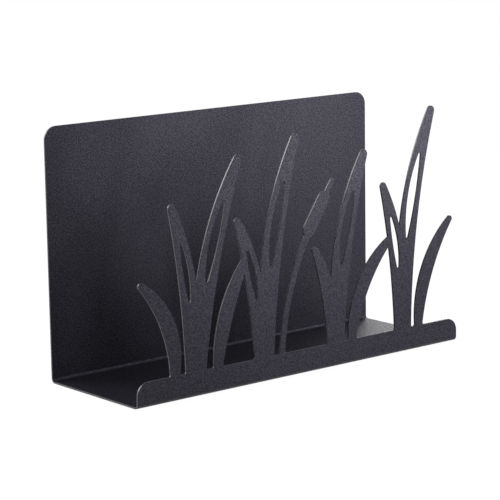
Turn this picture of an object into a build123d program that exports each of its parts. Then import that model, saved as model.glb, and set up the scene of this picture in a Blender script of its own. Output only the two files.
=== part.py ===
from build123d import *
import math
import os
from dataclasses import dataclass

# A free-standing letter holder: one steel sheet, cut flat and folded twice, on four stick-on feet.
# Millimetres. X runs along the holder, -Y is its front, +Z is up. The origin is on the desk, under
# the middle of the holder.

# ---- The folded sheet -----------------------------------------------------------------------
body_width = 250.0  # along X: a long business envelope is 241 mm
body_depth = 85.0  # over the outside faces of the rail and of the back panel
back_height = 151.5  # underside of the floor to the top edge of the back panel
rail_height = 15.0  # underside of the floor to the top edge of the front rail
sheet_thickness = 1.2
bend_inner_radius = 1.8
back_corner_radius = 8.0
rail_corner_radius = 8.0

# ---- The cut-out screen of reeds that stands on the rail --------------------------------------
screen_height = 133.0  # rail's top edge to the end of the tallest leaf's spine
tuft_end_distance = 41.5  # end of the rail to the middle of each outer tuft
wide_spacing = 7.0  # clear distances between neighbouring roots, inside the rail
close_spacing = 4.5
joined_spacing = 2.4  # such a pair runs together above the rail
narrow_leaf = 10.0  # greatest widths of the leaves
middle_leaf = 12.0
broad_leaf = 14.5
root_depth = 8.0  # how far below the rail's top edge a leaf starts, inside the rail
root_share = 0.42  # widths of a leaf at its root and its tip, as shares of its greatest width
tip_share = 0.4
root_fillet_radius = 1.2
slit_start = 0.42  # where a slit starts and ends, as shares of its leaf's spine
slit_end = 0.84
slit_rim = 3.8  # sheet left on each side of a slit at its widest
slit_end_radius = 1.0
cattail_stem_width = 4.0
cattail_head_length = 30.0
cattail_head_width = 9.0
cattail_spike_length = 9.0
cattail_spike_width = 3.0

# ---- The feet -------------------------------------------------------------------------------
foot_diameter = 8.0
foot_height = 2.0
foot_edge_radius = 0.5
foot_inset_x = 14.0  # end of the sheet to the middle of a foot
foot_inset_y = 18.0  # front or back face to the middle of a foot
adhesive_thickness = 0.2
adhesive_margin = 0.3  # how far a foot stands out past its adhesive

# ---- What follows from these ------------------------------------------------------------------
floor_underside = foot_height + adhesive_thickness
bend_outer_radius = bend_inner_radius + sheet_thickness
front_face_y = -body_depth / 2
back_face_y = body_depth / 2
rail_flat = rail_height - bend_outer_radius
rail_corner = min(rail_corner_radius, 0.9 * rail_flat)
outer_tuft_x = body_width / 2 - tuft_end_distance
inner_tuft_x = outer_tuft_x / 3  # four tufts, evenly spaced


@dataclass
class Leaf:
    """A curved leaf. Its spine is an arc from inside the rail to the tip.

    Reach, height and bow are in hundredths of the screen's height.
    """

    reach: float  # root to tip, along X
    height: float  # rail's top edge to tip
    bow: float  # how far the spine bulges from its chord, to the left when positive
    width: float  # across the middle of the leaf
    spacing: float = 0.0  # clear distance between its root and the one on its left
    slit: bool = False

    @property
    def root_width(self):
        return self.width * root_share


@dataclass
class Cattail:
    """A thin curved stem with a long round-ended head, and a spike past the head."""

    reach: float
    height: float
    bow: float
    spacing: float

    @property
    def root_width(self):
        return cattail_stem_width


tufts = {
    -outer_tuft_x: [
        Leaf(reach=-16, height=41, bow=-7, width=narrow_leaf),
        Leaf(reach=-8, height=72, bow=-4.5, width=middle_leaf, spacing=wide_spacing, slit=True),
        Leaf(reach=22, height=89, bow=6, width=broad_leaf, spacing=joined_spacing, slit=True),
        Leaf(reach=18, height=47, bow=4, width=narrow_leaf, spacing=wide_spacing),
    ],
    -inner_tuft_x: [
        Leaf(reach=-11, height=62, bow=-4.5, width=middle_leaf, slit=True),
        Leaf(reach=16, height=95, bow=6, width=broad_leaf, spacing=joined_spacing, slit=True),
        Cattail(reach=21, height=60, bow=5, spacing=close_spacing),
    ],
    inner_tuft_x: [
        Leaf(reach=-9, height=44, bow=-4, width=narrow_leaf),
        Leaf(reach=15, height=84, bow=6, width=broad_leaf, spacing=joined_spacing, slit=True),
        Leaf(reach=25, height=44, bow=7, width=narrow_leaf, spacing=close_spacing),
    ],
    outer_tuft_x: [
        Leaf(reach=-9, height=68, bow=-4.5, width=middle_leaf, slit=True),
        Leaf(reach=15, height=100, bow=7, width=broad_leaf, spacing=joined_spacing, slit=True),
        Leaf(reach=20, height=48, bow=6, width=narrow_leaf, spacing=close_spacing),
    ],
}


def with_root_places(tufts):
    """Every item with the middle of its root along X: side by side, each tuft centred on its place."""
    for tuft_x, items in tufts.items():
        places = [0.0]
        for before, item in zip(items, items[1:]):
            places.append(places[-1] + (before.root_width + item.root_width) / 2 + item.spacing)
        for item, place in zip(items, places):
            yield item, tuft_x + place - places[-1] / 2


def spine(item, root_x):
    """The arc from a root to its tip, or to the middle of its head."""
    hundredth = screen_height / 100
    root = Vector(root_x, rail_height - root_depth)
    tip = Vector(root_x + item.reach * hundredth, rail_height + item.height * hundredth)
    chord = tip - root
    left = Vector(-chord.Y, chord.X).normalized()
    return ThreePointArc(root, (root + tip) / 2 + left * item.bow * hundredth, tip)


def across(curve, share, distance):
    """A point to the left of a curve, by a distance, at a share of its length."""
    tangent = curve % share
    return (curve @ share) + Vector(-tangent.Y, tangent.X) * distance


def leaf_face(leaf, root_x):
    """A curved stroke that swells from its root to its middle and ends in a round tip."""
    line = spine(leaf, root_x)
    half_root = leaf.root_width / 2
    half_tip = leaf.width * tip_share / 2
    left_edge = ThreePointArc(
        across(line, 0, half_root), across(line, 0.5, leaf.width / 2), across(line, 1, half_tip))
    right_edge = ThreePointArc(
        across(line, 1, -half_tip), across(line, 0.5, -leaf.width / 2), across(line, 0, -half_root))
    tip = ThreePointArc(left_edge @ 1, (line @ 1) + (line % 1) * half_tip, right_edge @ 0)
    return make_face([left_edge, tip, right_edge, Line(right_edge @ 1, left_edge @ 0)])


def slit_face(leaf, root_x):
    """The eye in a wide leaf, along its spine and narrow at both ends."""
    line = spine(leaf, root_x)
    half_width = leaf.width / 2 - slit_rim
    middle = (slit_start + slit_end) / 2
    start, end = line @ slit_start, line @ slit_end
    face = make_face([
        ThreePointArc(start, across(line, middle, half_width), end),
        ThreePointArc(end, across(line, middle, -half_width), start),
    ])
    return fillet(face.vertices(), slit_end_radius)


def cattail_face(cattail, root_x):
    """A stem of even width with the head at its end, turned to follow the stem."""
    line = spine(cattail, root_x)
    tangent = line % 1
    tilt = math.degrees(math.atan2(tangent.Y, tangent.X))
    spike_bar = cattail_spike_length + cattail_spike_width
    spike_middle = cattail_head_length / 2 + cattail_spike_length - spike_bar / 2
    head = SlotOverall(cattail_head_length, cattail_head_width)
    spike = Pos(spike_middle, 0) * SlotOverall(spike_bar, cattail_spike_width)
    return trace(line, cattail_stem_width) + Pos(line @ 1) * Rot(0, 0, tilt) * (head + spike)


def screen_face():
    """The rail and its reeds as one flat figure, X along the rail and Y up from the floor's underside."""
    rail = Pos(0, bend_outer_radius + rail_flat / 2) * Rectangle(body_width, rail_flat)
    figure = fillet(rail.vertices().group_by(Axis.Y)[-1], rail_corner)
    placed = list(with_root_places(tufts))
    for item, root_x in placed:
        figure += leaf_face(item, root_x) if isinstance(item, Leaf) else cattail_face(item, root_x)
    for item, root_x in placed:
        if isinstance(item, Leaf) and item.slit:
            figure -= slit_face(item, root_x)
    return figure


def screen():
    """The screen as solid sheet in the front plane, with rounded corners where leaves leave the rail."""
    front_plane = Plane(origin=(0, front_face_y, 0), x_dir=(1, 0, 0), z_dir=(0, -1, 0))
    solid = extrude(front_plane * screen_face(), amount=-sheet_thickness)
    across_sheet = solid.edges().filter_by(Axis.Y)
    on_rail = across_sheet.filter_by_position(Axis.Z, rail_height - 1e-4, rail_height + 1e-4)
    on_rail = on_rail.sort_by(Axis.X)[1:-1]
    places = [edge.center().X for edge in on_rail]
    narrowest_gap = min(b - a for a, b in zip(places[1::2], places[2::2]))
    return fillet(on_rail, min(root_fillet_radius, 0.45 * narrowest_gap))


def folded_sheet():
    """The whole sheet: back panel, rear fold, floor and front fold, then the rail with its screen."""
    lap_height = bend_outer_radius + (rail_flat - rail_corner) / 2
    outer = FilletPolyline(
        (front_face_y, lap_height), (front_face_y, 0), (back_face_y, 0), (back_face_y, back_height),
        radius=bend_outer_radius)
    inner = FilletPolyline(
        (back_face_y - sheet_thickness, back_height), (back_face_y - sheet_thickness, sheet_thickness),
        (front_face_y + sheet_thickness, sheet_thickness), (front_face_y + sheet_thickness, lap_height),
        radius=bend_inner_radius)
    top_edge = Line(outer @ 1, inner @ 0)
    lap_edge = Line(inner @ 1, outer @ 0)
    profile = make_face([*outer.edges(), top_edge, *inner.edges(), lap_edge])
    strip = extrude(Plane.YZ * profile, amount=body_width / 2, both=True)
    strip = fillet(strip.edges().filter_by(Axis.Y).group_by(Axis.Z)[-1], back_corner_radius)
    return Pos(0, 0, floor_underside) * (strip + screen())


def foot():
    """A round rubber foot with a rolled lower edge, standing on the desk at the origin."""
    pad = Pos(0, 0, foot_height / 2) * Cylinder(foot_diameter / 2, foot_height)
    return fillet(pad.edges().sort_by(Axis.Z)[0], foot_edge_radius)


def adhesive():
    """The disc of double-sided adhesive between a foot and the sheet."""
    disc = Cylinder(foot_diameter / 2 - adhesive_margin, adhesive_thickness)
    return Pos(0, 0, foot_height + adhesive_thickness / 2) * disc


foot_x = body_width / 2 - foot_inset_x
foot_y = body_depth / 2 - foot_inset_y
parts = {"folded_sheet_body": folded_sheet()}
for side, x in (("left", -foot_x), ("right", foot_x)):
    for end, y in (("front", -foot_y), ("back", foot_y)):
        parts[f"{end}_{side}_foot"] = Pos(x, y, 0) * foot()
        parts[f"{end}_{side}_adhesive"] = Pos(x, y, 0) * adhesive()

os.makedirs("parts", exist_ok=True)
for name, shape in parts.items():
    export_step(shape, f"parts/{name}.step")
    print(name, "volume", round(shape.volume, 2))
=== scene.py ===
import math

import bpy
from mathutils import Matrix, Vector


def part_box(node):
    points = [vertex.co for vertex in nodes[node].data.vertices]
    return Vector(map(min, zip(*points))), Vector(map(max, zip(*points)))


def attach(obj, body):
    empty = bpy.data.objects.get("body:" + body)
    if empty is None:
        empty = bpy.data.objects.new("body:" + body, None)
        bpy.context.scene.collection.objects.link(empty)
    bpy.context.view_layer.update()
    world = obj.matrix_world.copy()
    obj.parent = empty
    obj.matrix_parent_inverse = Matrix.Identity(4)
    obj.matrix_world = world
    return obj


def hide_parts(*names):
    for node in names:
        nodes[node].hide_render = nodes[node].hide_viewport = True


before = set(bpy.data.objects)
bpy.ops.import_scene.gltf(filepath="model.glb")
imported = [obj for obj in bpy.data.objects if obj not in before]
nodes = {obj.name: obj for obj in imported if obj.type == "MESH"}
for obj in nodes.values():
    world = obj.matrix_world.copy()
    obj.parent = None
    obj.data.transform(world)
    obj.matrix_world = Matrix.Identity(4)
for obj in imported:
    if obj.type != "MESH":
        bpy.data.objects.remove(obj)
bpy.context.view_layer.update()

# ---- Camera --------------------------------------------------------------------------------------
# Where the photograph was taken from: a long lens at the front left, a little above the holder.
# The place and the turns come from the borders of the back panel, the floor and the rail in it.
camera_place = Vector((-0.80000, -0.96446, 0.30700))
camera_azimuth = math.radians(39.413)
camera_drop = math.radians(10.662)
camera_roll = math.radians(-0.896)
camera_lens = 152.07
sensor_width = 36.0
level = math.pi / 2  # a camera that isn't turned looks straight down

bpy.ops.object.camera_add()
camera = bpy.context.object
camera.name = "photo_camera"
camera.data.lens = camera_lens
camera.data.sensor_width = sensor_width
camera.matrix_world = (
    Matrix.Translation(camera_place)
    @ Matrix.Rotation(-camera_azimuth, 4, "Z")
    @ Matrix.Rotation(level - camera_drop, 4, "X")
    @ Matrix.Rotation(camera_roll, 4, "Z")
)
bpy.context.scene.camera = camera
bpy.context.scene.view_settings.view_transform = "Standard"


# ---- The folded sheet ----------------------------------------------------------------------------
# The whole holder is one laser-cut steel sheet, folded up at the back and at the front.
# It is powder coated all over in fine-textured matt black. Over the cut edges the coat is rounded,
# and on the cut faces it is thin and smoother; they are painted a paler grey, a painted highlight, so
# the rim of each leaf shows as a pale line.
weld_distance = 1e-6
flat_angle = math.radians(0.05)
face_on = 0.01  # a face counts as turned to an axis from this share of its normal on
fold_reach = 0.006  # the floor and both folds lie below this height over the underside
coat_edge_radius = 0.0003
coat_edge_steps = 3
sharp_edge = math.radians(50)
smooth_edge = math.radians(35)

grain_size = 0.0009
grain_detail = 1.5
cloud_size = 0.035
cloud_detail = 2.0

# From the pits to the crests of the grain: the pits' darker colour is partly the coat's own grain tone,
# partly painted shade in the hollows.
shaded_pit_colour = (0.003, 0.0027, 0.0042, 1.0)
crest_colour = (0.012, 0.011, 0.016, 1.0)
pit_grain, crest_grain = 0.36, 0.66  # the grain's values at the foot of a pit and on a crest
violet_sheen = (0.70, 0.66, 1.0, 1.0)
coat_roughness = 0.45
cloudy_roughness = 0.05
coat_index = 1.31
grain_depth = 0.0001
crest_gloss = 0.5
crest_gloss_roughness = 0.42
crest_gloss_index = 1.4

# The cut faces' colours: paler than the coat, a painted highlight on the rims, brightest in specks along
# the grain.
edge_black = (0.02, 0.0195, 0.023, 1.0)
edge_highlight_grey = (0.10, 0.098, 0.107, 1.0)
highlight_speck_start, highlight_speck_full = 0.35, 0.6  # the grain's values where the painted highlight specks start and where they are full
edge_roughness = 0.36
speck_roughness = 0.06
edge_index = 1.5
edge_grain_depth = 0.00005
edge_grain_strength = 0.5


class Wire:
    """A value in a finish's node tree. Sums, differences and products of wires add their Math nodes."""

    def __init__(self, finish, socket):
        self.finish = finish
        self.socket = socket

    def math(self, operation, first, second):
        return self.finish.node("ShaderNodeMath", {"operation": operation}, {0: first, 1: second})

    def __add__(self, other):
        return self.math("ADD", self, other)

    def __radd__(self, other):
        return self.math("ADD", other, self)

    def __sub__(self, other):
        return self.math("SUBTRACT", self, other)

    def __rsub__(self, other):
        return self.math("SUBTRACT", other, self)

    def __mul__(self, other):
        return self.math("MULTIPLY", self, other)

    def __rmul__(self, other):
        return self.math("MULTIPLY", other, self)


class Finish:
    """A material, or the world, that is written as a chain of nodes."""

    def __init__(self, owner):
        owner.use_nodes = True
        self.tree = owner.node_tree
        self.tree.nodes.clear()

    def node(self, kind, settings=None, inputs=None, output=0):
        """Add a node of this kind, with its settings and its inputs, and give the wire of one output."""
        made = self.tree.nodes.new(kind)
        for name, value in (settings or {}).items():
            setattr(made, name, value)
        for name, value in (inputs or {}).items():
            if isinstance(value, Wire):
                self.tree.links.new(value.socket, made.inputs[name])
            else:
                made.inputs[name].default_value = value
        return Wire(self, made.outputs[output]) if made.outputs else None

    def noise(self, size, detail, roughness=0.5):
        """Soft grains all through the piece, about as wide as the size in metres."""
        place = self.node("ShaderNodeTexCoord", output="Object")
        return self.node("ShaderNodeTexNoise", {}, {
            "Vector": place, "Scale": 1 / size, "Detail": detail, "Roughness": roughness}, output="Fac")

    def slope(self, value, low, high):
        """0 up to the low value, 1 from the high value on, and an even rise between."""
        return self.node("ShaderNodeMapRange", {"clamp": True}, {
            "Value": value, "From Min": low, "From Max": high})

    def colour_mix(self, share, first, second):
        """From the first colour to the second as the share goes from 0 to 1."""
        return self.node("ShaderNodeMix", {"data_type": "RGBA"}, {
            "Factor": share, "A": first, "B": second}, output="Result")

    def relief(self, height, depth, strength=1.0):
        """The normal of a surface that the height raises by up to the depth in metres."""
        return self.node("ShaderNodeBump", {}, {
            "Strength": strength, "Distance": depth, "Height": height})

    def surface(self, inputs):
        """The material's surface: a Principled shader with these inputs."""
        shader = self.node("ShaderNodeBsdfPrincipled", {}, inputs)
        self.node("ShaderNodeOutputMaterial", {}, {"Surface": shader})


def powder_coat():
    """Fine-textured matt black powder coat: pits darkened with painted shade, smoother crests and a
    violet sheen.
    """
    material = bpy.data.materials.new("black_powder_coat")
    finish = Finish(material)
    grain = finish.noise(grain_size, grain_detail)
    clouds = finish.noise(cloud_size, cloud_detail)
    crest = finish.slope(grain, pit_grain, crest_grain)
    finish.surface({
        # Partly painted shade: the colour darkens in the grain's pits.
        "Base Color": finish.colour_mix(crest, shaded_pit_colour, crest_colour),
        "Roughness": coat_roughness + (clouds - 0.5) * cloudy_roughness,
        "IOR": coat_index,
        "Specular Tint": violet_sheen,
        "Coat Weight": crest * crest_gloss,
        "Coat Roughness": crest_gloss_roughness,
        "Coat IOR": crest_gloss_index,
        "Normal": finish.relief(grain, grain_depth),
    })
    return material


def painted_highlight_edge_coat():
    """The coat where it runs thin over a cut face: smoother, and painted paler grey as a painted
    highlight, brightest in specks.
    """
    material = bpy.data.materials.new("edge_coat_painted_highlight")
    finish = Finish(material)
    grain = finish.noise(grain_size, grain_detail)
    highlight_specks = finish.slope(grain, highlight_speck_start, highlight_speck_full)
    finish.surface({
        # Painted highlight: the cut faces go from dark to a paler grey in specks.
        "Base Color": finish.colour_mix(highlight_specks, edge_black, edge_highlight_grey),
        "Roughness": edge_roughness + highlight_specks * speck_roughness,
        "IOR": edge_index,
        "Normal": finish.relief(grain, edge_grain_depth, edge_grain_strength),
    })
    return material


def copy_of_node(name, piece_name):
    """A welded copy of a CAD node's mesh, selected and active, with its flat faces joined up."""
    piece = bpy.data.objects.new(piece_name, nodes[name].data.copy())
    bpy.context.scene.collection.objects.link(piece)
    bpy.ops.object.select_all(action="DESELECT")
    piece.select_set(True)
    bpy.context.view_layer.objects.active = piece
    bpy.ops.object.mode_set(mode="EDIT")
    bpy.ops.mesh.select_all(action="SELECT")
    bpy.ops.mesh.remove_doubles(threshold=weld_distance)
    bpy.ops.mesh.dissolve_limited(angle_limit=flat_angle)
    bpy.ops.object.mode_set(mode="OBJECT")
    return piece


sheet = copy_of_node("folded_sheet_body", "powder_coated_sheet")
sheet.data.materials.clear()
sheet.data.materials.append(powder_coat())
sheet.data.materials.append(painted_highlight_edge_coat())
fold_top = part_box("folded_sheet_body")[0].z + fold_reach
for face in sheet.data.polygons:
    front_or_back = abs(face.normal.y) >= face_on
    floor_or_fold = abs(face.normal.x) < face_on and face.center.z < fold_top
    face.material_index = int(not front_or_back and not floor_or_fold)
rim = sheet.modifiers.new("coat_over_cut_edges", "BEVEL")
rim.width = coat_edge_radius
rim.segments = coat_edge_steps
rim.limit_method = "ANGLE"
rim.angle_limit = sharp_edge
rim.harden_normals = False
rim.material = 0  # the full coat, not the paler edge coat with its painted highlight
bpy.ops.object.modifier_apply(modifier=rim.name)
bpy.ops.object.shade_smooth_by_angle(angle=smooth_edge)
even = sheet.modifiers.new("flat_faces_stay_flat", "WEIGHTED_NORMAL")
even.keep_sharp = True
bpy.ops.object.modifier_apply(modifier=even.name)
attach(sheet, "root")
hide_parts("folded_sheet_body")


# ---- The rubber feet -----------------------------------------------------------------------------
# Four moulded bumpers of black rubber, each with a rolled rim and a shallow dish underneath.
# They are bought ready-made and stuck under the corners of the floor.
foot_names = [f"{end}_{side}_foot" for side in ("left", "right") for end in ("front", "back")]
foot_sides = 64
rim_roll = 0.0005
rim_roll_steps = 4
dish_inset = 0.0014
dish_depth = 0.00018
dish_slope = 2 * dish_depth
facing_down = -0.9

rubber_dark = (0.012, 0.012, 0.013, 1.0)
rubber_dusty = (0.045, 0.044, 0.043, 1.0)
rubber_grain_size = 0.00025
rubber_grain_depth = 0.00003
rubber_grain_strength = 0.6
dust_size = 1 / 700
dust_start, dust_full = 0.45, 0.75  # the dust pattern's values
dust_strength = 0.6
rubber_roughness = 0.72
dusty_roughness = 0.15


def foot_rubber():
    """Matt moulded rubber with fine grain and a little dust."""
    material = bpy.data.materials.new("black_foot_rubber")
    finish = Finish(material)
    grain = finish.noise(rubber_grain_size, detail=2.0)
    dust = finish.noise(dust_size, detail=4.0, roughness=0.7)
    dusty = finish.slope(dust, dust_start, dust_full)
    finish.surface({
        "Base Color": finish.colour_mix(dusty * dust_strength, rubber_dark, rubber_dusty),
        "Roughness": rubber_roughness + dusty * dusty_roughness,
        "Normal": finish.relief(grain, rubber_grain_depth, rubber_grain_strength),
    })
    return material


rubber = foot_rubber()
low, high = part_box(foot_names[0])
foot_radius = (high.x - low.x) / 2
foot_height = high.z - low.z
bpy.ops.mesh.primitive_cylinder_add(
    vertices=foot_sides, radius=foot_radius, depth=foot_height, location=(0, 0, foot_height / 2))
pattern_foot = bpy.context.object
bpy.ops.object.transform_apply(location=True, rotation=True, scale=True)
bpy.ops.object.mode_set(mode="EDIT")
bpy.ops.mesh.select_mode(type="FACE")
bpy.ops.mesh.select_all(action="DESELECT")
bpy.ops.object.mode_set(mode="OBJECT")
for face in pattern_foot.data.polygons:
    face.select = face.normal.z < facing_down
bpy.ops.object.mode_set(mode="EDIT")
bpy.ops.mesh.bevel(offset=rim_roll, offset_type="OFFSET", segments=rim_roll_steps, affect="EDGES")
bpy.ops.mesh.select_all(action="DESELECT")
bpy.ops.object.mode_set(mode="OBJECT")
underside = min(pattern_foot.data.polygons, key=lambda face: face.center.z)
underside.select = True
bpy.ops.object.mode_set(mode="EDIT")
bpy.ops.mesh.inset(thickness=dish_inset)
bpy.ops.mesh.inset(thickness=dish_slope, depth=-dish_depth)
bpy.ops.object.mode_set(mode="OBJECT")
bpy.ops.object.shade_smooth_by_angle(angle=smooth_edge)

for name in foot_names:
    low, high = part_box(name)
    foot = pattern_foot.copy()
    foot.data = pattern_foot.data.copy()
    foot.name = f"moulded_{name}"
    bpy.context.scene.collection.objects.link(foot)
    foot.data.transform(Matrix.Translation(((low.x + high.x) / 2, (low.y + high.y) / 2, low.z)))
    foot.data.materials.clear()
    foot.data.materials.append(rubber)
    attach(foot, "root")
    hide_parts(name)
bpy.data.objects.remove(pattern_foot)


# ---- The adhesive discs --------------------------------------------------------------------------
# A thin disc of pale double-sided acrylic film between each foot and the coated floor.
# It is die cut a little smaller than the foot, so that it shows only as a fine pale ring.
adhesive_names = [name.replace("_foot", "_adhesive") for name in foot_names]
film_pale = (0.62, 0.61, 0.57, 1.0)
film_grey = (0.42, 0.42, 0.40, 1.0)
haze_size = 1 / 900
air_cell_size = 0.0004
air_cell_depth = 0.00002
air_cell_strength = 0.4
film_roughness = 0.35
hazy_roughness = 0.2


def adhesive_film():
    """Milky film with small trapped air cells."""
    material = bpy.data.materials.new("pale_adhesive_film")
    finish = Finish(material)
    place = finish.node("ShaderNodeTexCoord", output="Object")
    cells = finish.node("ShaderNodeTexVoronoi", {}, {
        "Vector": place, "Scale": 1 / air_cell_size}, output="Distance")
    haze = finish.noise(haze_size, detail=3.0)
    finish.surface({
        "Base Color": finish.colour_mix(haze, film_grey, film_pale),
        "Roughness": film_roughness + haze * hazy_roughness,
        "Normal": finish.relief(cells, air_cell_depth, air_cell_strength),
    })
    return material


film = adhesive_film()
for name in adhesive_names:
    nodes[name].data.materials.clear()
    nodes[name].data.materials.append(film)


# ---- The white stage and the light ---------------------------------------------------------------
# A white ground under the holder and white all round. Three small lamps close to the front right
# light the faces, and a softbox at each side, a little behind, lights the cut edges and the floor.
white = (1.0, 1.0, 1.0, 1.0)
sky_for_matt = 0.4  # the sky's strength for all that isn't seen directly or in a reflection
stage_width = 12.0
stage_white = (0.86, 0.86, 0.86, 1.0)
stage_glow = 0.94  # the share of the stage's seen colour that is its own light, free of shadow
glow_strength = 1.045
lamp_aim = Vector((0.0, 0.0, 0.08))


def seen_white(finish):
    """1 for what the camera sees directly, in a reflection or through glass, and 0 for soft light."""
    camera_ray, glossy_ray, glass_ray = (
        finish.node("ShaderNodeLightPath", output=f"Is {ray} Ray")
        for ray in ("Camera", "Glossy", "Transmission"))
    return camera_ray + glossy_ray + glass_ray


world = bpy.data.worlds.new("studio_white")
bpy.context.scene.world = world
sky = Finish(world)
background = sky.node("ShaderNodeBackground", {}, {
    "Color": white, "Strength": sky_for_matt + seen_white(sky) * (1 - sky_for_matt)})
sky.node("ShaderNodeOutputWorld", {}, {"Surface": background})

bpy.ops.mesh.primitive_plane_add(size=stage_width)
stage = bpy.context.object
stage.name = "white_stage"
ground = bpy.data.materials.new("white_ground")
paper = Finish(ground)
matt = paper.node("ShaderNodeBsdfDiffuse", {}, {"Color": stage_white})
glow = paper.node("ShaderNodeEmission", {}, {"Color": white, "Strength": glow_strength})
both = paper.node("ShaderNodeMixShader", {}, {0: seen_white(paper) * stage_glow, 1: matt, 2: glow})
paper.node("ShaderNodeOutputMaterial", {}, {"Surface": both})
stage.data.materials.append(ground)


def soft_lamp(name, place, width, watts):
    """A square lamp that points at the middle of the holder."""
    bpy.ops.object.light_add(type="AREA", location=place)
    lamp = bpy.context.object
    lamp.name = name
    lamp.data.shape = "SQUARE"
    lamp.data.size = width
    lamp.data.energy = watts
    lamp.rotation_euler = (lamp_aim - Vector(place)).to_track_quat("-Z", "Y").to_euler()


soft_lamp("near_low_lamp", place=(0.127, -0.272, 0.05), width=0.06, watts=0.12)
soft_lamp("near_high_lamp", place=(0.193, -0.23, 0.12), width=0.06, watts=0.12)
soft_lamp("front_lamp", place=(0.383, -0.321, 0.12), width=0.09, watts=0.55)
soft_lamp("right_softbox", place=(0.788, 0.367, 0.313), width=0.4, watts=3.6)
soft_lamp("left_softbox", place=(-0.501, 0.597, 0.53), width=0.4, watts=6.0)
